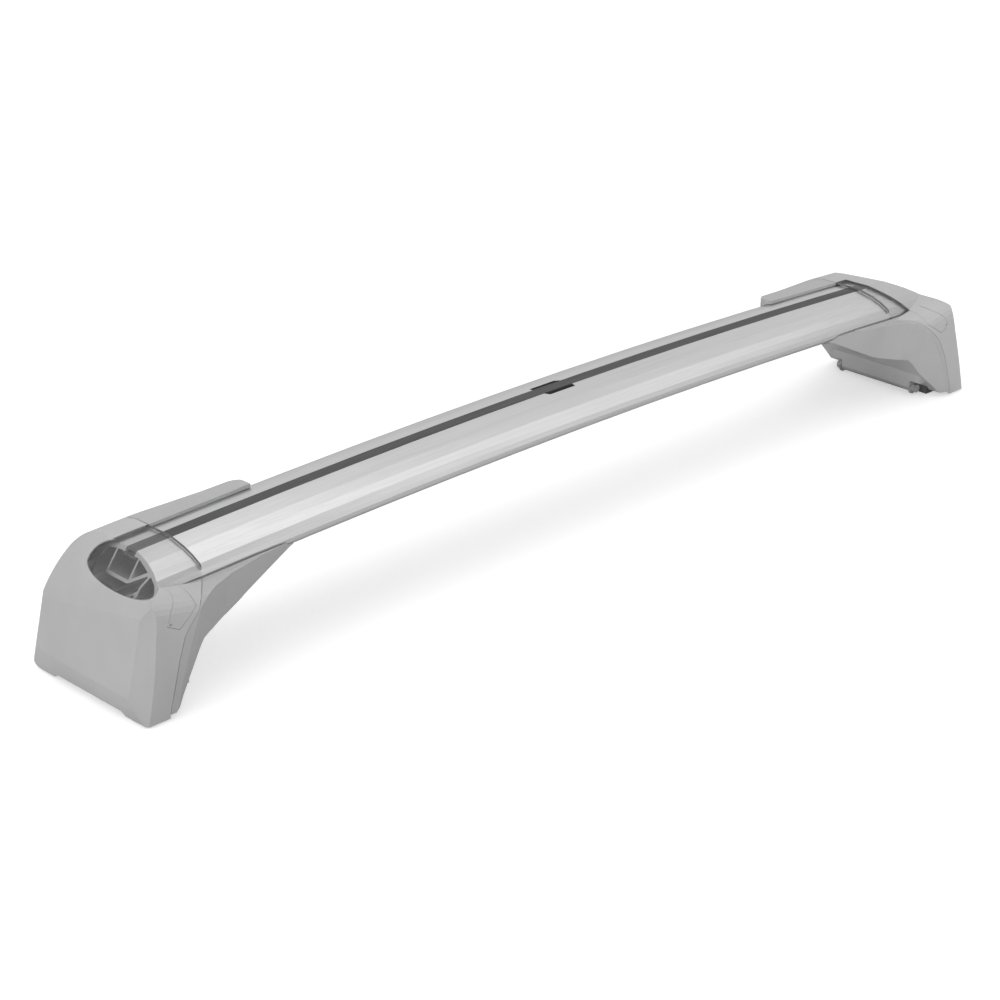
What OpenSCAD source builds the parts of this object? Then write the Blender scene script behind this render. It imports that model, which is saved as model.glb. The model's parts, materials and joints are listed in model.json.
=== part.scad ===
// Roof rack crossbar: an arched aluminium bar carried by two clamping feet.
// X runs along the bar, Y from the front (minus) to the rear (plus), Z up.
// The origin is on the ground, in the middle between the feet.

/* [Bar] */
// Length of the bar, measured along the slot from tip to tip
bar_length = 840; // [700:1:1100]
// Height of the bar's top above the ground, in the middle
top_height = 107; // [104:0.5:116]
// How far the middle of the bar stands above its ends
arch_rise = 10; // [4:0.5:14]
// Depth of the bar's section, top to bottom
bar_depth = 26; // [24.5:0.25:28]
// Front edge of the bar, ahead of the slot's middle
nose_reach = 43.3; // [41:0.1:46]
// Rear edge of the bar, behind the slot's middle
tail_reach = 39.5; // [38:0.1:43]
// Thickness of the bar's skin
skin = 1.9; // [1.4:0.1:2.2]
// Thickness of the bar's inner webs
web = 1.6; // [1.2:0.1:2]
// Lean of the bar's cut ends
mitre_angle = 36; // [20:1:42]
// Distance of the slot's middle behind the feet's middle
slot_shift = 9; // [6:0.5:12]

/* [Top slot and strip] */
// Width of the slot's mouth in the bar's top
mouth_width = 11.6; // [10:0.1:13]
// Width of the channel under the mouth
channel_width = 24; // [20:0.5:26]
// Depth of the channel's floor under the bar's top
channel_depth = 16.5; // [14:0.25:17]
// Thickness of the lips beside the mouth
lip = 3.2; // [2.6:0.1:3.6]
// Clearance of the strip in the mouth, on each side
strip_play = 0.2; // [0.1:0.05:0.4]
// Width of the strip's foot under the lips
strip_foot = 16; // [14.5:0.5:18]
// Thickness of the strip's foot
strip_foot_t = 1.8; // [1.2:0.1:2.4]
// Height of the strip above the bar's top
strip_crown = 0.2; // [0:0.05:0.5]
// Length of the access port in the middle of the slot
port_length = 34; // [24:1:50]
// Width of the access port
port_width = 19; // [16:0.5:22]

/* [Bottom slot] */
// Width of the mouth in the bar's underside
base_mouth = 12; // [10:0.5:14]
// Thickness of the underside's lips
base_lip = 2.4; // [1.8:0.1:3]

/* [Feet] */
// Distance from the bar's cut end to the foot's outer end
end_room = 53; // [50:1:60]
// Half the foot's width at the ground
foot_half = 66; // [62:0.5:72]
// Distance the cover's seam lies inboard of the foot's outer end
seam_inset = 82; // [76:1:86]
// Height of the covers' lower edge
cover_lift = 1; // [0.5:0.1:2]
// Height of the leg's lower edge
leg_lift = 3.8; // [3:0.1:6]
// Radius of the foot's rounded outer end
end_radius = 90; // [84:1:96]
// Wall of the end cover
cover_wall = 1.8; // [1.5:0.1:2.2]
// Gap between the cover and the leg inside it
cover_gap = 0.6; // [0.3:0.1:1]
// Width of the seam between the cover and the leg
seam_gap = 0.5; // [0.3:0.05:0.9]
// How far the arm reaches inboard of the seam
arm_reach = 92; // [80:1:110]
// Clearance between the feet and the bar
bar_gap = 0.3; // [0.25:0.05:0.5]

/* [Clamp] */
// Height of the tension bolt above the ground
bolt_z = 30; // [28:0.5:34]
// Diameter of the tension bolt
bolt_d = 8; // [6:0.5:9]
// Advance of the tension bolt for each turn
bolt_pitch = 1.25; // [1:0.25:1.5]
// Travel of the jaw
jaw_travel = 6; // [4:0.5:6.5]
// Width of the jaw
jaw_width = 76; // [60:2:84]
// Diameter of the cross rod at the foot's inner edge
rod_d = 7.6; // [6:0.2:9]
// Length of the cross rod
rod_length = 92; // [84:1:96]
// Height of the cross rod
rod_z = 6.6; // [6.2:0.1:8]

/* [Pad and lock] */
// Width of the rubber pad that stands on the car's rail
pad_width = 11; // [9:0.5:11.5]
// Length of the rubber pad
pad_length = 100; // [80:2:106]
// Thickness of the rubber pad
pad_t = 8; // [6:0.5:9]
// Diameter of the lock's barrel
barrel_d = 11; // [9:0.5:12]
// Diameter of the bolts that hold the bar to the feet
slot_bolt_d = 6; // [5:0.5:7]

/* [Hidden] */

$fn = 64;
eps = 0.01;
big = 400;

// The arch: a circle through the bar's tips and its raised middle
arch_r = (bar_length * bar_length / 4 + arch_rise * arch_rise) / (2 * arch_rise);
arch_fn = 3600;
arch_z = top_height - arch_r;
bar_turn = asin((bar_length / 2 + bar_depth) / arch_r) + 0.02;
function top_at(x) = arch_z + sqrt(arch_r * arch_r - x * x);

foot_reach = bar_length / 2 + end_room;
seam_x = foot_reach - seam_inset;
tip_x = seam_x - arm_reach;
end_x = foot_reach - end_radius;
foot_top = top_at(seam_x);

// Points of an outline moved inwards by t, edges kept parallel; the outline runs anticlockwise
function unit_normal(a, b) = let (d = b - a, n = norm(d)) [-d[1] / n, d[0] / n];
function inset(pts, t) = [
  for (i = [0 : len(pts) - 1])
    let (
      before = pts[(i + len(pts) - 1) % len(pts)],
      here = pts[i],
      after = pts[(i + 1) % len(pts)],
      n1 = unit_normal(before, here),
      n2 = unit_normal(here, after)
    )
    here + (n1 + n2) * (t / (1 + n1 * n2))
];
function arc(centre, r, from, to, steps) = [
  for (i = [0 : steps]) let (a = from + (to - from) * i / steps) centre + r * [cos(a), sin(a)]
];

// The bar's section: y from the slot's middle, z down from the bar's top
half_mouth = mouth_width / 2;
function nose_side() = [
  [-half_mouth, 0], [-0.28, -1.2], [-0.51, -3.3], [-0.73, -6.6], [-0.88, -10], [-0.965, -13.2], [-1, -16.6],
  [-0.985, -20], [-0.94, -bar_depth + 3.2], [-0.85, -bar_depth + 1], [-0.72, -bar_depth]
];
function tail_side() = [
  [0.5, -bar_depth], [0.72, -bar_depth + 0.9], [0.92, -bar_depth + 4], [1, -18], [0.96, -14], [0.84, -8],
  [0.7, -3.6], [0.56, -1.6], [0.38, -0.5], [half_mouth, 0]
];
function bar_outline() = concat(
  [for (i = [0 : 10]) let (p = nose_side()[i]) i == 0 ? p : [p[0] * nose_reach, p[1]]],
  [for (i = [0 : 9]) let (p = tail_side()[i]) i == 9 ? p : [p[0] * tail_reach, p[1]]]
);

floor_t = 2;
channel_mid = 1.5;
channel_front = channel_mid - channel_width / 2;
channel_rear = channel_mid + channel_width / 2;
chamber_top = -channel_depth - floor_t;
chamber_base = -bar_depth + base_lip;
mouth_front = -slot_shift - base_mouth / 2;
mouth_rear = -slot_shift + base_mouth / 2;
head_room = 3;
front_web = mouth_front - 9.4;
tail_web = channel_rear + web + 12.8;

module channel_section() {
  translate([channel_front, -channel_depth]) square([channel_width, channel_depth - lip]);
  translate([-half_mouth, -lip - eps]) square([mouth_width, lip + 1]);
}

// Hollow under the channel's floor, open to the slot in the bar's underside
module chamber_section() {
  polygon([
    [channel_front, chamber_top], [channel_front - web - 1.4, chamber_top + 1.3],
    [front_web - 2.6, -9.8], [front_web - 3.6, -10.4], [front_web, -16.8], [front_web, -19.4],
    [mouth_front - head_room, chamber_base], [mouth_front, chamber_base], [mouth_front, -bar_depth - 1],
    [mouth_rear, -bar_depth - 1],
    [mouth_rear, chamber_base], [tail_web - 2.1, chamber_base], [tail_web, -19.5],
    [tail_web - 0.6, -11.5], [tail_web - 4, -5], [channel_rear + web, -skin - 1.5],
    [channel_rear + web, chamber_top]
  ]);
}

module front_hollows() {
  polygon([
    [channel_front - web, -skin - 1.6], [front_web - 1.4, -7.8], [channel_front - web, -15.6]
  ]);
  polygon([
    [-nose_reach + 12.6, -9.3], [-nose_reach + 6.1, -12.1], [-nose_reach + 3.1, -15], [-nose_reach + skin, -17],
    [-nose_reach + 2.6, -19.8], [-nose_reach + 4.6, -bar_depth + 4.2], [-nose_reach + 7.4, -bar_depth + 2.8],
    [front_web - 1.8, -bar_depth + 2.1], [front_web - 1.8, -17.3]
  ]);
  polygon([
    [mouth_front - 3.6, -bar_depth + 1.7], [front_web + 1.6, -22.1], [front_web + 1.6, -bar_depth + 1.7]
  ]);
}

module tail_hollow() {
  polygon([
    [tail_web - 1.2, -6.4], [tail_reach - 7.7, -9.4], [tail_reach - 3.3, -15], [tail_reach - 2.1, -18],
    [tail_reach - 4.3, -bar_depth + 5.2], [tail_web + 1.4, -bar_depth + 2.7], [tail_web + 1.7, -19.5],
    [tail_web + 1.1, -11.2]
  ]);
}

module bar_section() {
  difference() {
    polygon(bar_outline());
    channel_section();
    chamber_section();
    front_hollows();
    tail_hollow();
  }
}

// Sweeps a section, drawn as (y, z under the bar's top), along the arch between two angles
module along_arch(from, to, shift = slot_shift) {
  translate([0, 0, arch_z])
    rotate(-120, [1, 1, 1])
      rotate([0, 0, from])
        rotate_extrude(angle = to - from, $fn = arch_fn)
          translate([arch_r, shift])
            mirror([1, -1]) children();
}

// Everything beyond the lean of the bar's cut end
module beyond_mitre(inset_by = 0) {
  translate([bar_length / 2 - inset_by, 0, top_height - arch_rise])
    rotate([0, -mitre_angle, 0])
      translate([0, -big / 2, -big / 2]) cube([big, big, big]);
}

module port_cutter() {
  corner = port_width * 0.28;
  half = port_length / 2;
  wide = port_width / 2;
  translate([0, slot_shift, top_height - channel_depth])
    linear_extrude(channel_depth + 2)
      polygon([
        [-half, -wide + corner], [-half + corner, -wide], [half, -wide],
        [half, wide - corner], [half - corner, wide], [-half, wide]
      ]);
}

module bar() {
  color("silver")
    difference() {
      along_arch(-bar_turn, bar_turn) bar_section();
      port_cutter();
      for (side = [0, 1]) mirror([side, 0, 0]) beyond_mitre();
    }
}

module top_strip() {
  half = half_mouth - strip_play;
  foot = strip_foot / 2;
  color("dimgray")
    difference() {
      along_arch(-bar_turn, bar_turn)
        difference() {
          polygon([
            [-half, strip_crown], [-half, -lip - 0.1], [-foot, -lip - 0.1], [-foot, -lip - strip_foot_t],
            [foot, -lip - strip_foot_t], [foot, -lip - 0.1], [half, -lip - 0.1], [half, strip_crown]
          ]);
          translate([-half + 1.6, -lip - strip_foot_t + 1]) square([2 * half - 3.2, lip - 0.6]);
        }
      for (side = [0, 1]) mirror([side, 0, 0]) beyond_mitre(0.4);
    }
}

// The feet's outer form: a hood over the bar's end, drawn as (y, z under the bar's top)
skin_rise = cover_wall + bar_gap + strip_crown;
wall_bow = 14.8;
bow_from = 0.158;
shoulder_r = 12;
shoulder_z = -18.8;
rear_edge_r = 10;
rear_lean = 3;
hood_base = -foot_top - 12;
function raised_bar() = inset(bar_outline(), -skin_rise);
function bow(z) = wall_bow * pow(max(0, 1 + z / foot_top - bow_from), 2);
function wall_at(z) = [-foot_half - 0.2 + bow(z), z];
function hood_front() = concat(
  [wall_at(hood_base)],
  [for (k = [0.834, 0.692, 0.57, 0.448, 0.366, 0.285]) wall_at(-k * foot_top)]
);
function hood_outline() = let (top = hood_front()[6]) concat(
  [[foot_half + 1, hood_base]],
  arc([foot_half - rear_lean - rear_edge_r, -10.6], rear_edge_r, 0, 78, 7),
  [[foot_half - 22, skin_rise - 1]],
  [for (i = [19, 0, 1, 2, 3, 4, 5, 6]) raised_bar()[i] + [slot_shift, 0]],
  [[-nose_reach + slot_shift - 4.5, shoulder_z]],
  arc(top + shoulder_r * [cos(11), -sin(11)], shoulder_r, 97, 169, 6),
  [for (i = [5 : -1 : 0]) hood_front()[i]]
);

// The cover's front shoulder, which climbs beside the bar's end; measured from the front and the top
shoulder_climb = 11;
shoulder_steps = [
  [22.5, 20], [18, 20.8], [14, 22.2], [10.5, 24.3], [7.5, 27.2], [5.6, 30.8], [4.6, 34.6], [3.8, 41], [3, 52]
];
function shoulder_outline() = concat(
  [[-foot_half + 46, -foot_top / 2], [-foot_half + 46, -18]],
  [for (p = shoulder_steps) [-foot_half + p[0], -p[1]]],
  [[-foot_half + 2.6, -foot_top / 2 - 26], [-foot_half + 20, -foot_top / 2 - 26]]
);
module shoulder_block(t) {
  translate([seam_x, 0, foot_top])
    rotate([0, -shoulder_climb, 0])
      translate([-60, 0, 0])
        rotate([90, 0, 90]) linear_extrude(180) polygon(inset(shoulder_outline(), t));
}

end_low_z = 14;
end_high_z = 28;
end_tilt = atan((end_high_z - end_low_z) / (2 * foot_half));
module end_round(t) {
  translate([end_x, 0, (end_low_z + end_high_z) / 2])
    rotate([90 - end_tilt, 0, 0])
      linear_extrude(big, center = true)
        union() {
          circle(r = end_radius - t, $fn = 360);
          translate([-big, -big]) square([big, 2 * big]);
        }
}

// Upright prism that leans inwards: rounds the rear corner and bevels the front one
end_lean = 14;
rear_corner_r = 9;
bevel_x = 3;
bevel_y = 15.5;
module end_corners(t) {
  front = -foot_half - 1 + t;
  rear = foot_half + 2 - t;
  corner_r = rear_corner_r - t;
  translate([foot_reach + 1 - t, 0, end_low_z])
    rotate([0, -end_lean, 0])
      translate([0, 0, -big / 2])
        linear_extrude(big)
          polygon(concat(
            [[-big, front], [-bevel_x - 7, front], [-bevel_x, front + bevel_y - 4], [0, front + bevel_y]],
            arc([-corner_r, rear - corner_r], corner_r, 0, 90, 8),
            [[-big, rear]]
          ));
}

// Within a foot the arch is straight to a tenth of a millimetre, so its forms run along the slope there
function slope_at(x) = asin(x / arch_r);
module along_slope(x, inboard, outboard, shift = slot_shift) {
  translate([x, shift, top_at(x)])
    rotate([0, slope_at(x), 0])
      translate([-inboard, 0, 0])
        rotate([90, 0, 90]) linear_extrude(inboard + outboard) children();
}

module foot_form(t) {
  intersection() {
    union() {
      along_slope(seam_x, arm_reach + 14, foot_reach - seam_x + 20, 0) polygon(inset(hood_outline(), t));
      shoulder_block(t);
    }
    end_round(t);
    end_corners(t);
  }
}

// The seam, seen from the front: level with the bar's skin it is upright, then it sweeps outwards
function seam_line() = [
  [seam_x, top_height + 20], [seam_x, foot_top * 0.79], [seam_x + 19, foot_top * 0.783],
  [seam_x + 20.4, foot_top * 0.778], [seam_x + 25.4, foot_top * 0.724], [seam_x + 34, foot_top * 0.645],
  [seam_x + 39.8, foot_top * 0.579], [seam_x + 47, foot_top * 0.41], [seam_x + 52.3, foot_top * 0.237],
  [seam_x + 57.5, foot_top * 0.06], [seam_x + 58.3, -5]
];
// The same seam from above: it crosses the shoulder from the bar's nose to the front wall
function seam_plan() = [
  [seam_x, big / 2], [seam_x, -nose_reach + slot_shift + 1.9], [seam_x + 20.5, -foot_half + 7.6],
  [seam_x + 20.5, -big / 2], [foot_reach + 60, -big / 2], [foot_reach + 60, big / 2]
];

module outboard_of_seam(shift) {
  translate([shift, 0, 0])
    intersection() {
      translate([0, big / 2, 0])
        rotate([90, 0, 0])
          linear_extrude(big) polygon(concat(seam_line(), [[foot_reach + 60, -5], [foot_reach + 60, top_height + 20]]));
      translate([0, 0, -10]) linear_extrude(top_height + 40) polygon(seam_plan());
    }
}

module side_plate(pts, width) {
  translate([0, width / 2, 0])
    rotate([90, 0, 0]) linear_extrude(width) polygon(pts);
}

// Outline of the small door in the cover's front, over the lock
lock_x = foot_reach - 43;
lock_z = foot_top - 24;
function door_outline() = [
  [lock_x - 13.6, lock_z + 0.7], [lock_x + 3.7, lock_z - 10.8], [lock_x + 14.2, lock_z - 5.5],
  [lock_x + 9, lock_z + 3.5], [lock_x - 2.4, lock_z + 11.7], [lock_x - 14, lock_z + 9.7]
];
door_t = 1.3;
door_recess = 1.5;
door_gap = 0.3;
door_back = 1.6;
door_reach = 39;
peg_r = 1.2;
peg_length = 11.5;
peg_spots = [[-9.5, 4], [9.5, -4]];
finger_dimple = [11, -4.6];
module door_prism(t) {
  translate([0, -door_reach, 0])
    rotate([90, 0, 0]) linear_extrude(foot_half) polygon(inset(door_outline(), t));
}

barrel_r = barrel_d / 2;
barrel_front = -foot_half + 14;
barrel_length = 14;
housing_r = barrel_r + 1.6;
fit_play = 0.08;

module along_y(x, z, from, length, r) {
  translate([x, from, z]) rotate([-90, 0, 0]) cylinder(r = r, h = length);
}
module along_x(from, z, length, r) {
  translate([from, 0, z]) rotate([0, 90, 0]) cylinder(r = r, h = length);
}

module lock_pegs(r, from, length) {
  for (p = peg_spots) along_y(lock_x + p[0], lock_z + p[1], from, length, r);
}

module cover_shell() {
  difference() {
    foot_form(0);
    foot_form(cover_wall);
    difference() {
      door_prism(0);
      foot_form(door_recess);
    }
  }
  difference() {
    intersection() {
      door_prism(-door_back);
      foot_form(door_recess);
    }
    foot_form(door_recess + door_back);
  }
  intersection() {
    foot_form(door_recess + 0.2);
    along_y(lock_x, lock_z, -foot_half, barrel_front + barrel_length - 1.4 + foot_half, housing_r);
  }
}

module end_cover() {
  rim_y = 38;
  rear_r = 7;
  rear = foot_half + 1;
  color("lightgray")
    difference() {
      intersection() {
        outboard_of_seam(0);
        cover_shell();
      }
      along_y(lock_x, lock_z, -foot_half - 5, foot_half + 5 + barrel_front + barrel_length + 1, barrel_r + fit_play);
      lock_pegs(peg_r + 0.1, -foot_half - 5, 40);
      translate([0, -big / 2, cover_lift - big]) cube([2 * big, big, big]);
      translate([foot_reach + 20, 0, 0])
        rotate([0, -90, 0])
          linear_extrude(60)
            polygon([
              [-5, -rim_y - 6], [cover_lift, -rim_y - 4], [cover_lift + 3, -rim_y],
              [cover_lift + 3, rim_y], [cover_lift, rim_y + 4], [-5, rim_y + 6]
            ]);
      translate([seam_x, 0, 0])
        rotate([90, 0, 90])
          linear_extrude(big)
            polygon(concat(
              [[rear + 9, -9], [rear + 9, cover_lift + rear_r]],
              arc([rear - rear_r, cover_lift + rear_r], rear_r, 0, -90, 6),
              [[rear - rear_r, -9]]
            ));
    }
}

module lock_flap() {
  color("lightgray")
    difference() {
      union() {
        difference() {
          intersection() {
            foot_form(0);
            door_prism(door_gap);
          }
          foot_form(door_t);
        }
        intersection() {
          foot_form(door_t - 0.2);
          lock_pegs(peg_r, -foot_half, peg_length);
        }
      }
      along_y(lock_x + finger_dimple[0], lock_z + finger_dimple[1], -foot_half - 1, 6, 0.9);
    }
}

module lock_barrel() {
  color("gainsboro")
    difference() {
      along_y(lock_x, lock_z, barrel_front, barrel_length, barrel_r);
      translate([lock_x - 0.7, barrel_front - 1, lock_z - 3.5]) cube([1.4, 7, 7]);
    }
}

cam_length = 13;
cam_t = 2;
cam_y = barrel_front + barrel_length;
module lock_cam() {
  color("darkgray")
    translate([lock_x, cam_y + cam_t, lock_z])
      rotate([90, 0, 0])
        linear_extrude(cam_t)
          union() {
            circle(r = 3.5);
            translate([-cam_length, -3.5]) square([cam_length, 7]);
          }
}

// Leg and arm, one moulding. Its outline is seen from the front.
inner_x = foot_reach - 51.5;
leg_out = foot_reach - 27.5;
core_top = foot_top - 32.3;
core_front_top = foot_top - 40.3;
rod_x = foot_reach - 48;
function leg_line() = [
  [seam_x + 60, leg_lift], [seam_x + 46.8, leg_lift], [seam_x + 40.6, 10.6], [seam_x + 33, 18.6],
  [seam_x + 26, foot_top * 0.26], [seam_x + 17.5, foot_top * 0.376], [seam_x + 13, foot_top * 0.42],
  [seam_x + 3, foot_top * 0.436], [seam_x - 16, foot_top * 0.482], [seam_x - 30, foot_top * 0.541],
  [seam_x - 37, foot_top * 0.577], [seam_x - 55, foot_top * 0.665], [seam_x - 80, foot_top * 0.79],
  [tip_x - 1, foot_top - 17.5], [tip_x - 2, top_height + 20], [seam_x + 60, top_height + 20]
];

// The arm's rear side, from above: it narrows towards the middle of the car
tip_rear = 44;
function arm_plan() = [
  [tip_x - 4, -foot_half], [foot_reach + 20, -foot_half - 2], [foot_reach + 20, foot_half + 2],
  [seam_x + 36, foot_half + 2], [seam_x + 22, foot_half - 4], [seam_x + 7, foot_half - 7.5],
  [seam_x - 20, foot_half - 12], [seam_x - 45, foot_half - 16], [seam_x - 62, foot_half - 18.5],
  [tip_x + 6, tip_rear + 2], [tip_x, tip_rear - 2], [tip_x - 4, tip_rear - 8]
];

// The arm's front cheek runs slantwise from the bar's nose to the front wall and leans in downwards
cheek_z = 76;
cheek_lean = 10.5;
cheek_turn = 61;
function cheek_plan() = [
  [tip_x - 8, -foot_half + 44], [tip_x - 3, -foot_half + 39], [tip_x + 10, -foot_half + 34], [tip_x + 37, -foot_half + 30],
  [seam_x - 37, -foot_half + 27], [seam_x - 16, -foot_half + 22.6], [seam_x + 3, -foot_half + 15],
  [seam_x + 20.5, -foot_half + 5.6], [seam_x + 34, -foot_half - 3.4], [seam_x + 49, -foot_half - 14.5],
  [foot_reach + 20, -foot_half - 60], [foot_reach + 20, big], [tip_x - 8, big]
];
module cheek_form() {
  translate([seam_x, -foot_half, cheek_z])
    rotate([0, 0, cheek_turn])
      rotate([0, -cheek_lean, 0])
        rotate([0, 0, -cheek_turn])
          translate([-seam_x, foot_half, -big])
            linear_extrude(2 * big) polygon(cheek_plan());
}

// The space that the bar takes in a foot, and the open view over it ahead of the rear shoulder
shoulder_y = 20;
module bar_space() {
  middle = (tip_x + seam_x) / 2;
  along_slope(middle, arm_reach, arm_reach * 1.6)
    translate([0, -0.1]) {
      polygon(inset(bar_outline(), -bar_gap));
      polygon([
        [-nose_reach - 3, shoulder_z + 0.2], [0, shoulder_z + 0.2], [shoulder_y, shoulder_z + 3],
        [shoulder_y, 30], [-nose_reach - 3, 30]
      ]);
    }
}

gasket_t = 1.4;
gasket_from = tip_x + 12;
gasket_to = seam_x - 2;
gasket_half = 24;
slot_bolt_r = slot_bolt_d / 2;
function slot_bolt_x() = [seam_x - 40, seam_x - 12];
arm_roof = 3;
nut_h = slot_bolt_d * 0.7;
function nut_seat(x) = top_at(x) - bar_depth - bar_gap - gasket_t - arm_roof;

pad_x = foot_reach - 38.5;
pad_play = 0.3;
web_half = 13;
nut_t = 6.5;
nut_x = leg_out - 3 - nut_t;
nut_flats = 13;
hollow_z = 25;
arm_hollow_half = 27;
bolt_tip = leg_out - 3 - nut_t - 1;
bolt_r = bolt_d / 2;
rod_r = rod_d / 2;

// Pockets beside the leg's middle web, open towards the cover
module leg_hollow() {
  hollow_half = foot_half - 14;
  for (side = [0, 1]) mirror([0, side, 0])
    translate([inner_x + 3, web_half, hollow_z])
      cube([60, hollow_half - web_half, core_front_top - 6 - hollow_z]);
}

// The arm is moulded hollow, open below; its roof carries the nuts
module arm_hollow() {
  from = tip_x + 16;
  roof = nut_seat(seam_x) - 2;
  translate([from, -arm_hollow_half, -1]) cube([seam_x - 1 - from, 2 * arm_hollow_half, roof + 1]);
}

// What the clamp and the cam take out of the leg
module leg_machining() {
  along_x(bolt_tip - jaw_travel - 2, bolt_z, 60, bolt_r + 0.8);
  translate([nut_x - 0.3, -nut_flats / 2 - 0.2, bolt_z - nut_flats * 0.6])
    cube([nut_t + 0.6, nut_flats + 0.4, core_top]);
  translate([rod_x, -big / 2, rod_z]) rotate([-90, 0, 0]) cylinder(r = rod_r + 0.05, h = big);
  translate([pad_x - pad_play, -pad_length / 2 - pad_play, -1])
    cube([pad_width + 30, pad_length + 2 * pad_play, pad_t + 1]);
  translate([lock_x - cam_length - 8, cam_y - 1.5, lug_z]) cube([cam_length + 8 + 4.2, 8, 30]);
}

module arm_bores() {
  for (x = slot_bolt_x()) {
    translate([x, 0, 0]) cylinder(r = slot_bolt_r + 0.4, h = top_height);
    translate([x, 0, -1]) cylinder(r = slot_bolt_d + 2, h = nut_seat(x) + 1);
  }
}

lug_z = lock_z - 14;
module cam_lug() {
  translate([lock_x + 4.2, cam_y - 1.5, core_front_top - 6]) cube([4.5, 7, lock_z - 8 - core_front_top + 6]);
}

// Carries the cross rod between its clips; above them it is as wide as the leg's inner wall
boss_height = 20;
boss_overhang = 13.8;
module rod_boss() {
  bearing = rod_length - 12;
  depth = pad_x - rod_x;
  intersection() {
    foot_form(0);
    union() {
      translate([rod_x - rod_r, -bearing / 2, rod_z]) cube([depth, bearing, boss_height]);
      translate([rod_x - rod_r, -rod_length / 2 - 6, boss_overhang])
        cube([depth, rod_length + 12, rod_z + boss_height - boss_overhang]);
    }
  }
}

module foot_body() {
  color("darkgray")
    difference() {
      intersection() {
        union() {
          difference() {
            intersection() {
              foot_form(0);
              side_plate(leg_line(), big);
              translate([0, 0, -5]) linear_extrude(big) polygon(arm_plan());
            }
            outboard_of_seam(-seam_gap);
          }
          difference() {
            intersection() {
              foot_form(cover_wall + cover_gap);
              translate([seam_x - 2, -big / 2, leg_lift]) cube([leg_out - seam_x + 2, big, core_top - leg_lift]);
              side_plate(leg_line(), big);
            }
            translate([seam_x, -foot_half, core_front_top]) cube([big, foot_half - 40, 60]);
          }
          rod_boss();
          cam_lug();
        }
        cheek_form();
      }
      bar_space();
      leg_hollow();
      arm_hollow();
      leg_machining();
      arm_bores();
      gasket_seat(0.15);
    }
}

module gasket_seat(play) {
  middle = (gasket_from + gasket_to) / 2;
  reach = (gasket_to - gasket_from) / 2 + play;
  along_slope(middle, reach, reach, 0)
    translate([-gasket_half - play, -bar_depth - gasket_t - bar_gap])
      square([2 * gasket_half + 2 * play, gasket_t + play]);
}

module bar_gasket() {
  color("dimgray")
    difference() {
      gasket_seat(0);
      for (x = slot_bolt_x()) translate([x, 0, 0]) cylinder(r = slot_bolt_r + 0.5, h = top_height);
    }
}

// Bolts whose flat heads slide in the bar's bottom slot
bolt_head_t = 3.6;
module slot_bolts() {
  color("silver")
    for (x = slot_bolt_x()) {
      seat = top_at(x) + chamber_base;
      tip = nut_seat(x) - nut_h - 1;
      translate([x, 0, tip]) cylinder(r = slot_bolt_r, h = seat - tip + 1);
      translate([x - 8, -base_mouth / 2 - 1.5, seat + 0.4]) cube([16, base_mouth + 3, bolt_head_t]);
    }
}

module slot_nuts() {
  color("silver")
    for (x = slot_bolt_x())
      translate([x, 0, nut_seat(x) - nut_h])
        difference() {
          union() {
            cylinder(r = slot_bolt_d * 0.96, h = nut_h - 1, $fn = 6);
            translate([0, 0, nut_h - 1]) cylinder(r = slot_bolt_d * 1.15, h = 1);
          }
          translate([0, 0, -1]) cylinder(r = slot_bolt_r, h = nut_h + 2);
        }
}

// Clamp: the jaw slides inwards as the bolt is turned into the captive nut
jaw_x = foot_reach - 21;
jaw_t = 5;
washer_t = 1.6;
head_t = 4.8;
function jaw_line() = [
  [jaw_x, 46], [jaw_x, 19], [jaw_x + 5, 14], [jaw_x + 5, 5], [jaw_x + 2, 4.4], [jaw_x + 2, 2], [jaw_x + 11, 2],
  [jaw_x + 11, 15], [jaw_x + jaw_t, 21], [jaw_x + jaw_t, 46]
];
module clamp_jaw() {
  color("slategray")
    difference() {
      side_plate(jaw_line(), jaw_width);
      along_x(jaw_x - 1, bolt_z, jaw_t + 2, bolt_r + 0.06);
      for (side = [0, 1]) mirror([0, side, 0])
        translate([jaw_x - 1, jaw_width / 2 - 14, 34]) cube([jaw_t + 2, 15, 20]);
    }
}

module bolt_washer() {
  color("silver")
    translate([jaw_x + jaw_t, 0, bolt_z])
      rotate([0, 90, 0])
        difference() {
          cylinder(r = bolt_d, h = washer_t);
          translate([0, 0, -1]) cylinder(r = bolt_r + 0.06, h = washer_t + 2);
        }
}

module tension_bolt() {
  under_head = jaw_x + jaw_t + washer_t;
  color("silver")
    difference() {
      union() {
        along_x(bolt_tip, bolt_z, under_head - bolt_tip + eps, bolt_r);
        along_x(under_head, bolt_z, head_t, bolt_d * 0.8);
      }
      translate([under_head + head_t - 3, 0, bolt_z]) rotate([0, 90, 0]) cylinder(r = bolt_d * 0.42, h = 6, $fn = 6);
    }
}

module clamp_nut() {
  color("gray")
    difference() {
      translate([nut_x, -nut_flats / 2, bolt_z - nut_flats / 2]) cube([nut_t, nut_flats, nut_flats]);
      along_x(nut_x - 1, bolt_z, nut_t + 2, bolt_r + 0.06);
    }
}

module cross_rod() {
  color("gray") along_y(rod_x, rod_z, -rod_length / 2, rod_length, rod_r - 0.02);
}

clip_t = 1.6;
module rod_clips() {
  color("dimgray")
    for (side = [0, 1]) mirror([0, side, 0])
      translate([rod_x, rod_length / 2 - 5.8 + clip_t, rod_z])
        rotate([90, 0, 0])
          difference() {
            cylinder(r = rod_r + 1.9, h = clip_t);
            translate([0, 0, -1]) cylinder(r = rod_r, h = clip_t + 2);
          }
}

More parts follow.
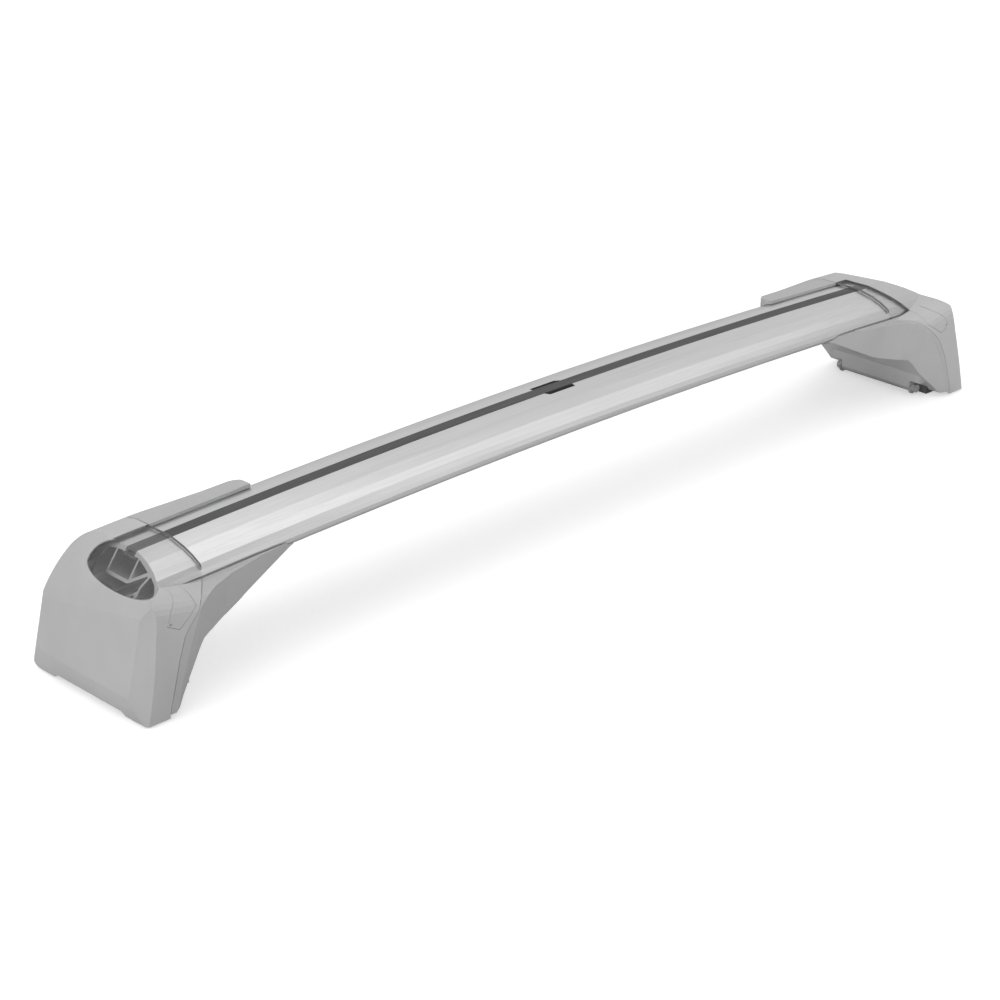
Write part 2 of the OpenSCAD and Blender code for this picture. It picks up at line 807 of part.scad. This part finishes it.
module base_pad() {
  color("dimgray")
    translate([pad_x, -pad_length / 2, 0])
      difference() {
        cube([pad_width, pad_length, pad_t]);
        for (i = [1 : 7])
          translate([-1, pad_length * i / 8 - 1, -1]) cube([pad_width + 2, 2, 2]);
      }
}

module left() {
  mirror([1, 0, 0]) children();
}

bar();
top_strip();
left() foot_body();  // left_foot_body
left() end_cover();  // left_end_cover
left() lock_flap();  // left_lock_flap
left() lock_barrel();  // left_lock_barrel
left() lock_cam();  // left_lock_cam
left() clamp_jaw();  // left_clamp_jaw
left() tension_bolt();  // left_tension_bolt
left() bolt_washer();  // left_bolt_washer
left() clamp_nut();  // left_clamp_nut
left() cross_rod();  // left_cross_rod
left() rod_clips();  // left_rod_clips
left() base_pad();  // left_base_pad
left() bar_gasket();  // left_bar_gasket
left() slot_bolts();  // left_slot_bolts
left() slot_nuts();  // left_slot_nuts
foot_body();  // right_foot_body
end_cover();  // right_end_cover
lock_flap();  // right_lock_flap
lock_barrel();  // right_lock_barrel
lock_cam();  // right_lock_cam
clamp_jaw();  // right_clamp_jaw
tension_bolt();  // right_tension_bolt
bolt_washer();  // right_bolt_washer
clamp_nut();  // right_clamp_nut
cross_rod();  // right_cross_rod
rod_clips();  // right_rod_clips
base_pad();  // right_base_pad
bar_gasket();  // right_bar_gasket
slot_bolts();  // right_slot_bolts
slot_nuts();  // right_slot_nuts
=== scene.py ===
import json
import math

import bpy
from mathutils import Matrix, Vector

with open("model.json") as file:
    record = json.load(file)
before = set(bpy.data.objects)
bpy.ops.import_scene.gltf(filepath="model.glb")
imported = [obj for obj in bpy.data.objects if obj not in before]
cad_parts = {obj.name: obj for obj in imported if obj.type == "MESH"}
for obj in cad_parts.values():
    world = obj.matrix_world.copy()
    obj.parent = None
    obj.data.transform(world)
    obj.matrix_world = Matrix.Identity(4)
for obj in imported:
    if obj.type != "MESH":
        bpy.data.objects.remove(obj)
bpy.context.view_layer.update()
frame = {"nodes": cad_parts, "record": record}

MM = 0.001

# Where the camera stands, in metres, how it is turned, in degrees, and its lens and sensor, in millimetres
CAMERA_PLACE = (-1.3039, -1.2887, 0.8192)
CAMERA_TURN = 43.804
CAMERA_DROP = 23.853
CAMERA_LENS = 86.88
SENSOR_WIDTH = 36.0

# Patterns of the surfaces: the distance between spots along X, Y and Z, in millimetres, and the amount of
# detail. The real die lines, etch, grain, pebble and zinc crystals are several times finer. They are drawn
# coarse enough to show in the render.
DIE_LINES = ((260, 0.9, 0.9), 3)
ETCH_PITS = ((0.35, 0.35, 0.35), 1)
SHEEN_DRIFT = ((90, 14, 14), 2)
RUBBER_GRAIN = ((0.5, 0.5, 0.5), 3)
RUBBER_WEAR = ((60, 6, 6), 3)
MOULD_PEBBLE = ((0.6, 0.6, 0.6), 2)
SHADE_CLOUD = ((40, 40, 40), 3)
ZINC_CRYSTALS = ((1.2, 1.2, 1.2), 3)

# Depths of relief, in millimetres
DIE_LINE_DEPTH = 0.0025
ETCH_DEPTH = 0.005
GRAIN_DEPTH = 0.03
PEBBLE_DEPTH = 0.012
COVER_PEBBLE_DEPTH = 0.01
CRYSTAL_DEPTH = 0.01

# Noise lies mostly between these two values
NOISE_LOW = 0.3
NOISE_HIGH = 0.7

# A little under nylon's 1.53 and polycarbonate's 1.58, for the soft sheen in the photograph
SHELL_IOR = 1.49

# Edges of a piece's mesh sharper than this stay sharp
SHARP_ANGLE = math.radians(32)

# The cut end of the bar, in metres and radians: a slanting plane that meets the bar's top at this X and Z
END_X = 0.420
END_TOP = 0.097
END_LEAN = math.radians(36)

# The bar's rounded section on that plane: its middle in Y and Z, its reach to each side, over and under it,
# and how square it is, where 2 is an ellipse
SECTION_MIDDLE = (0.0068, 0.0810)
SECTION_HALF = 0.0405
SECTION_OVER = 0.0190
SECTION_UNDER = 0.0102
SQUARENESS = 2.1

# The line of sight along which the cut end shows through the left cover's corner
SIGHT = (-0.508, 0.749, -0.424)
SIGHT_RATE = -SIGHT[0] * math.cos(END_LEAN) - SIGHT[2] * math.sin(END_LEAN)

# The clear zone of each cover over the bar: its front and rear edges, its lower edge over the bar's nose,
# and how far it goes past the cut end on either foot
BAR_FRONT = -0.0375
BAR_REAR = 0.0295
BAR_NOSE_Z = 0.0803
LEFT_RIM = 0.0025
RIGHT_RIM = -0.0100

# How steeply the cover turns from grey to clear at the zone's edges: over the bar it is a rate a metre, and
# over the cut end a rate on the section's scale, where the outline is at 1
BAR_EDGE_STEEP = 1250
END_EDGE_STEEP = 10

# What is left of the cover's body where it is clear, and the painted shade of the step along its seam
CLEAR_ALPHA = 0.10
SEAM_SHADE_EDGE = 0.3914
SEAM_SHADE_COLOUR = "#6e6e6e"

# The clear zone, a step a row: what it gives, the maths operation, and the numbers or earlier results in it
WINDOW_STEPS = (
    # How far a point lies beyond the plane of the cut end, and on which foot
    ("out", "ABSOLUTE", "x"),
    ("past_end", "SUBTRACT", "out", END_X),
    ("over_top", "SUBTRACT", "z", END_TOP),
    ("raised", "MULTIPLY", "over_top", math.sin(END_LEAN)),
    ("beyond", "MULTIPLY_ADD", "past_end", math.cos(END_LEAN), "raised"),
    ("left_foot", "LESS_THAN", "x", 0.0),
    # Painted shade: the cover's edge along the seam is coloured dark where its step onto the bar falls in
    # shade
    ("lip", "LESS_THAN", "out", SEAM_SHADE_EDGE),
    ("off_lip", "SUBTRACT", 1.0, "lip"),

    # Over the bar, up to its cut end
    ("from_front", "SUBTRACT", "y", BAR_FRONT),
    ("to_rear", "SUBTRACT", BAR_REAR, "y"),
    ("from_nose", "SUBTRACT", "z", BAR_NOSE_Z),
    ("inside", "MINIMUM", "from_front", "to_rear"),
    ("inside", "MINIMUM", "inside", "from_nose"),
    ("over_bar", "MULTIPLY_ADD", "inside", BAR_EDGE_STEEP, 0.5),
    ("rim", "MULTIPLY_ADD", "left_foot", LEFT_RIM - RIGHT_RIM, RIGHT_RIM),
    ("before_end", "LESS_THAN", "beyond", "rim"),
    ("over_bar", "MULTIPLY", "over_bar", "before_end"),

    # Over the cut end of the left foot: the bar's section, carried out along the line of sight
    ("steps", "MAXIMUM", "beyond", 0.0),
    ("steps", "DIVIDE", "steps", SIGHT_RATE),
    ("seen_y", "MULTIPLY_ADD", "steps", SIGHT[1], "y"),
    ("seen_z", "MULTIPLY_ADD", "steps", SIGHT[2], "z"),
    ("side", "SUBTRACT", "seen_y", SECTION_MIDDLE[0]),
    ("side", "ABSOLUTE", "side"),
    ("side", "DIVIDE", "side", SECTION_HALF),
    ("side", "POWER", "side", SQUARENESS),
    ("rise", "SUBTRACT", "seen_z", SECTION_MIDDLE[1]),
    ("over", "DIVIDE", "rise", SECTION_OVER),
    ("under", "DIVIDE", "rise", -SECTION_UNDER),
    ("height", "MAXIMUM", "over", "under"),
    ("height", "POWER", "height", SQUARENESS),
    ("edge", "ADD", "side", "height"),
    ("over_end", "MULTIPLY_ADD", "edge", -END_EDGE_STEEP, END_EDGE_STEEP + 0.5),
    ("over_end", "MULTIPLY", "over_end", "left_foot"),

    # Either of them, but not on the painted shade along the seam
    ("clear", "MAXIMUM", "over_bar", "over_end"),
    ("clear", "MAXIMUM", "clear", 0.0),
    ("clear", "MINIMUM", "clear", 1.0),
    ("clear", "MULTIPLY", "clear", "off_lip"),
    ("alpha", "MULTIPLY_ADD", "clear", CLEAR_ALPHA - 1.0, 1.0),
)

# Room: the floor's size and its drop below the pads, in metres, its colour, the light that it is given for
# the camera, and the world's own light
FLOOR_SIDE = 14.0
FLOOR_DROP = 0.0005
FLOOR_COLOUR = "#dcdcdc"
FLOOR_LIFT = 0.52
WORLD_LEVEL = 0.5


# Small helpers

def linear(hex_colour):
    """Turns an sRGB hex colour into Blender's linear RGBA."""
    def channel(value):
        return value / 12.92 if value <= 0.04045 else ((value + 0.055) / 1.055) ** 2.4
    digits = hex_colour.lstrip("#")
    return tuple(channel(int(digits[i:i + 2], 16) / 255) for i in (0, 2, 4)) + (1.0,)


def per_metre(millimetres):
    """Texture scale that gives features about this many millimetres apart."""
    return 1 / (millimetres * MM)


def add(tree, kind, inputs=None, **settings):
    """Adds one shader node. An input takes a value or another node's output."""
    made = tree.nodes.new(kind)
    for name, value in settings.items():
        setattr(made, name, value)
    for name, value in (inputs or {}).items():
        if isinstance(value, bpy.types.NodeSocket):
            tree.links.new(value, made.inputs[name])
        else:
            made.inputs[name].default_value = value
    return made


def blank_material(name):
    """A material without nodes, and its tree."""
    material = bpy.data.materials.new(name)
    material.use_nodes = True
    material.node_tree.nodes.clear()
    return material, material.node_tree


def spots(tree, spacing, detail):
    """Noise whose spots lie this far apart along X, Y and Z, in millimetres."""
    place = add(tree, "ShaderNodeTexCoord").outputs["Object"]
    scaled = add(tree, "ShaderNodeMapping", {"Vector": place, "Scale": [per_metre(gap) for gap in spacing]})
    return add(tree, "ShaderNodeTexNoise", {
        "Vector": scaled.outputs["Vector"], "Scale": 1.0, "Detail": detail,
    }).outputs["Fac"]


def surface(name, colours, tone, sheen, roughness, relief, **shader_inputs):
    """A material whose tone, sheen and relief each follow a pattern.

    The tone's pattern mixes the dark and the light colour. The sheen's moves roughness over its range.
    Relief lists patterns with their depths.
    """
    material, tree = blank_material(name)
    patterns = [tone, sheen] + [pattern for pattern, depth in relief]
    noise = {pattern: spots(tree, *pattern) for pattern in dict.fromkeys(patterns)}
    share = add(tree, "ShaderNodeMapRange", {
        "Value": noise[tone], "From Min": NOISE_LOW, "From Max": NOISE_HIGH,
    })
    colour = add(tree, "ShaderNodeMix", {
        "Factor": share.outputs["Result"], 6: linear(colours[0]), 7: linear(colours[1]),
    }, data_type="RGBA")
    matt = add(tree, "ShaderNodeMapRange", {
        "Value": noise[sheen], "From Min": NOISE_LOW, "From Max": NOISE_HIGH,
        "To Min": roughness[0], "To Max": roughness[1],
    })
    shader = add(tree, "ShaderNodeBsdfPrincipled", {
        "Base Color": colour.outputs[2], "Roughness": matt.outputs["Result"],
    })
    for socket, value in shader_inputs.items():
        shader.inputs[socket.replace("_", " ")].default_value = value
    below = {}
    for pattern, depth in relief:
        raised = add(tree, "ShaderNodeBump", {
            "Height": noise[pattern], "Strength": 1.0, "Distance": depth * MM, **below,
        })
        below = {"Normal": raised.outputs["Normal"]}
    tree.links.new(below["Normal"], shader.inputs["Normal"])
    add(tree, "ShaderNodeOutputMaterial", {"Surface": shader.outputs["BSDF"]})
    return material, tree, shader


# Materials

# Each finish takes its material's name, then its dark and its light colour.

def anodised_aluminium(name, *colours):
    """Extruded aluminium, etched and clear anodised: a satin sheen with faint die lines along the bar."""
    relief = [(DIE_LINES, DIE_LINE_DEPTH), (ETCH_PITS, ETCH_DEPTH)]
    return surface(name, colours, DIE_LINES, SHEEN_DRIFT, (0.30, 0.36), relief, Metallic=1.0)[0]


def epdm_rubber(name, *colours):
    """Extruded or pressed EPDM rubber: matte and dark, with a fine even grain and paler worn places."""
    relief = [(RUBBER_GRAIN, GRAIN_DEPTH)]
    return surface(name, colours, RUBBER_WEAR, RUBBER_GRAIN, (0.5, 0.68), relief, Specular_IOR_Level=0.4)[0]


def glass_filled_nylon(name, *colours):
    """Nylon from a spark-eroded mould: satin, with a fine pebble and no flow marks."""
    relief = [(MOULD_PEBBLE, PEBBLE_DEPTH)]
    return surface(name, colours, SHADE_CLOUD, SHADE_CLOUD, (0.34, 0.44), relief, IOR=SHELL_IOR)[0]


def powder_coating(name, *colours, roughness=(0.34, 0.44)):
    """Powder baked on to metal: an even satin skin that hides the metal, with a slight orange peel."""
    relief = [(MOULD_PEBBLE, PEBBLE_DEPTH)]
    return surface(name, colours, SHADE_CLOUD, SHADE_CLOUD, roughness, relief, IOR=SHELL_IOR)[0]


def zinc_skin(name, *colours):
    """Zinc, cast or plated on to steel: small crystals that catch the light unevenly."""
    relief = [(ZINC_CRYSTALS, CRYSTAL_DEPTH)]
    return surface(name, colours, ZINC_CRYSTALS, ZINC_CRYSTALS, (0.28, 0.42), relief, Metallic=1.0)[0]


def moulded_polycarbonate(name, *colours):
    """Polycarbonate painted grey inside, clear over the bar and its cut end; its edge at the seam is
    darkened as painted shade.
    """
    relief = [(MOULD_PEBBLE, COVER_PEBBLE_DEPTH)]
    satin = (0.30, 0.38)
    material, tree, shader = surface(name, colours, SHADE_CLOUD, SHADE_CLOUD, satin, relief, IOR=SHELL_IOR)
    place = add(tree, "ShaderNodeTexCoord").outputs["Object"]
    split = add(tree, "ShaderNodeSeparateXYZ", {"Vector": place})
    known = {axis.lower(): split.outputs[axis] for axis in "XYZ"}
    for result, operation, *values in WINDOW_STEPS:
        inputs = {i: known.get(value, value) for i, value in enumerate(values)}
        known[result] = add(tree, "ShaderNodeMath", inputs, operation=operation).outputs["Value"]
    tree.links.new(known["alpha"], shader.inputs["Alpha"])

    # Painted shade: the cover's edge inboard of the seam takes a dark colour for the shaded step
    colour = add(tree, "ShaderNodeMix", {
        "Factor": known["lip"], 6: shader.inputs["Base Color"].links[0].from_socket, 7: linear(SEAM_SHADE_COLOUR),
    }, data_type="RGBA")
    tree.links.new(colour.outputs[2], shader.inputs["Base Color"])
    return material


FINISHES = {
    "anodised_aluminium": anodised_aluminium("anodised aluminium", "#d2d2d3", "#dcdcdd"),
    "black_rubber": epdm_rubber("slot strip rubber", "#444444", "#515151"),
    "pad_rubber": epdm_rubber("pad rubber", "#545454", "#5e5e5e"),
    "grey_plastic": glass_filled_nylon("glass-filled nylon foot", "#b0b0b0", "#b6b6b6"),
    "clear_plastic": moulded_polycarbonate("polycarbonate cover", "#b8b8b8", "#bebebe"),
    "cast_aluminium": powder_coating("coated cast jaw", "#4c4c4d", "#565657", roughness=(0.45, 0.6)),
    "dark_steel": powder_coating("coated steel rod", "#949494", "#9e9e9e"),
    "zinc_casting": zinc_skin("satin zinc casting", "#b9b9ba", "#c6c6c7"),
    "zinc_steel": zinc_skin("zinc plated steel", "#a9aaab", "#bcbdbe"),
}

for part in frame["record"]["subparts"]:
    piece = frame["nodes"][part["node"]]
    piece.data.materials.clear()
    piece.data.materials.append(FINISHES[part["material_slot"]])
    piece.data.shade_smooth()
    piece.data.set_sharp_from_angle(angle=SHARP_ANGLE)


# Room, lights and camera

def seen_by_camera(tree):
    """1 for rays that come from the camera, straight or through something clear."""
    ray = add(tree, "ShaderNodeLightPath")
    rays = {0: ray.outputs["Is Camera Ray"], 1: ray.outputs["Is Transmission Ray"]}
    return add(tree, "ShaderNodeMath", rays, operation="MAXIMUM").outputs["Value"]


def studio_floor():
    """Pale floor, seen by the camera a little brighter than it is: it ends in white and keeps its shadow."""
    bpy.ops.mesh.primitive_plane_add(size=FLOOR_SIDE, location=(0, 0, -FLOOR_DROP))
    floor = bpy.context.object
    floor.name = "studio_floor"
    material, tree = blank_material("pale floor paper")
    paper = add(tree, "ShaderNodeBsdfDiffuse", {"Color": linear(FLOOR_COLOUR)}).outputs["BSDF"]
    lift = add(tree, "ShaderNodeEmission", {"Color": (1, 1, 1, 1), "Strength": FLOOR_LIFT})
    lifted = add(tree, "ShaderNodeAddShader", {0: paper, 1: lift.outputs["Emission"]})
    mix = add(tree, "ShaderNodeMixShader", {0: seen_by_camera(tree), 1: paper, 2: lifted.outputs["Shader"]})
    add(tree, "ShaderNodeOutputMaterial", {"Surface": mix.outputs["Shader"]})
    floor.data.materials.append(material)


def white_world():
    """Even light from all round, seen by the camera as white."""
    world = bpy.data.worlds.new("studio")
    bpy.context.scene.world = world
    world.use_nodes = True
    tree = world.node_tree
    tree.nodes.clear()
    level = add(tree, "ShaderNodeMapRange", {
        "Value": seen_by_camera(tree), "To Min": WORLD_LEVEL, "To Max": 1.0,
    })
    sky = add(tree, "ShaderNodeBackground", {"Color": (1, 1, 1, 1), "Strength": level.outputs["Result"]})
    add(tree, "ShaderNodeOutputWorld", {"Surface": sky.outputs["Background"]})


def softbox(name, place, target, width, height, watts, spread=180):
    """A rectangular lamp that faces its target. Spread is the angle of its light, in degrees."""
    lamp = bpy.data.lights.new(name, "AREA")
    lamp.shape = "RECTANGLE"
    lamp.size = width
    lamp.size_y = height
    lamp.energy = watts
    lamp.spread = math.radians(spread)
    holder = bpy.data.objects.new(name, lamp)
    bpy.context.scene.collection.objects.link(holder)
    holder.location = place
    aim = Vector(target) - Vector(place)
    holder.rotation_euler = aim.to_track_quat("-Z", "Y").to_euler()


def studio_camera():
    """The camera of the photograph."""
    lens = bpy.data.cameras.new("camera")
    lens.lens = CAMERA_LENS
    lens.sensor_width = SENSOR_WIDTH
    camera = bpy.data.objects.new("camera", lens)
    bpy.context.scene.collection.objects.link(camera)
    camera.location = CAMERA_PLACE
    camera.rotation_euler = (math.radians(90 - CAMERA_DROP), 0, math.radians(-CAMERA_TURN))
    bpy.context.scene.camera = camera


studio_floor()
white_world()

# Large panels light the part and show as soft bands along the bar
softbox("rear_right_panel", (1.7, 1.8, 1.4), (0, 0, 0.08), 3.6, 2.0, 6)
softbox("front_right_panel", (1.4, -1.8, 1.3), (0, 0, 0.08), 2.0, 1.4, 6.3)
softbox("right_high_panel", (1.5, -0.35, 1.85), (0, 0, 0.08), 1.6, 1.2, 3.5)
softbox("top_panel", (-0.2, 0.3, 2.2), (-0.1, 0, 0.08), 3.0, 1.5, 13.5)
softbox("left_panel", (-2.4, 0.2, 1.3), (-0.4, 0, 0.06), 1.6, 1.2, 14)

# Small fills for the right foot's inner wall and for the bar's cut end inside the left cover
softbox("inner_fill", (-0.9, -1.0, 0.25), (0.43, 0, 0.03), 0.5, 0.3, 0.24, spread=30)
softbox("end_fill", (-1.382, -1.404, 0.883), (-0.41, 0.02, 0.085), 0.25, 0.25, 0.028, spread=12)

studio_camera()
bpy.context.scene.view_settings.view_transform = "Standard"
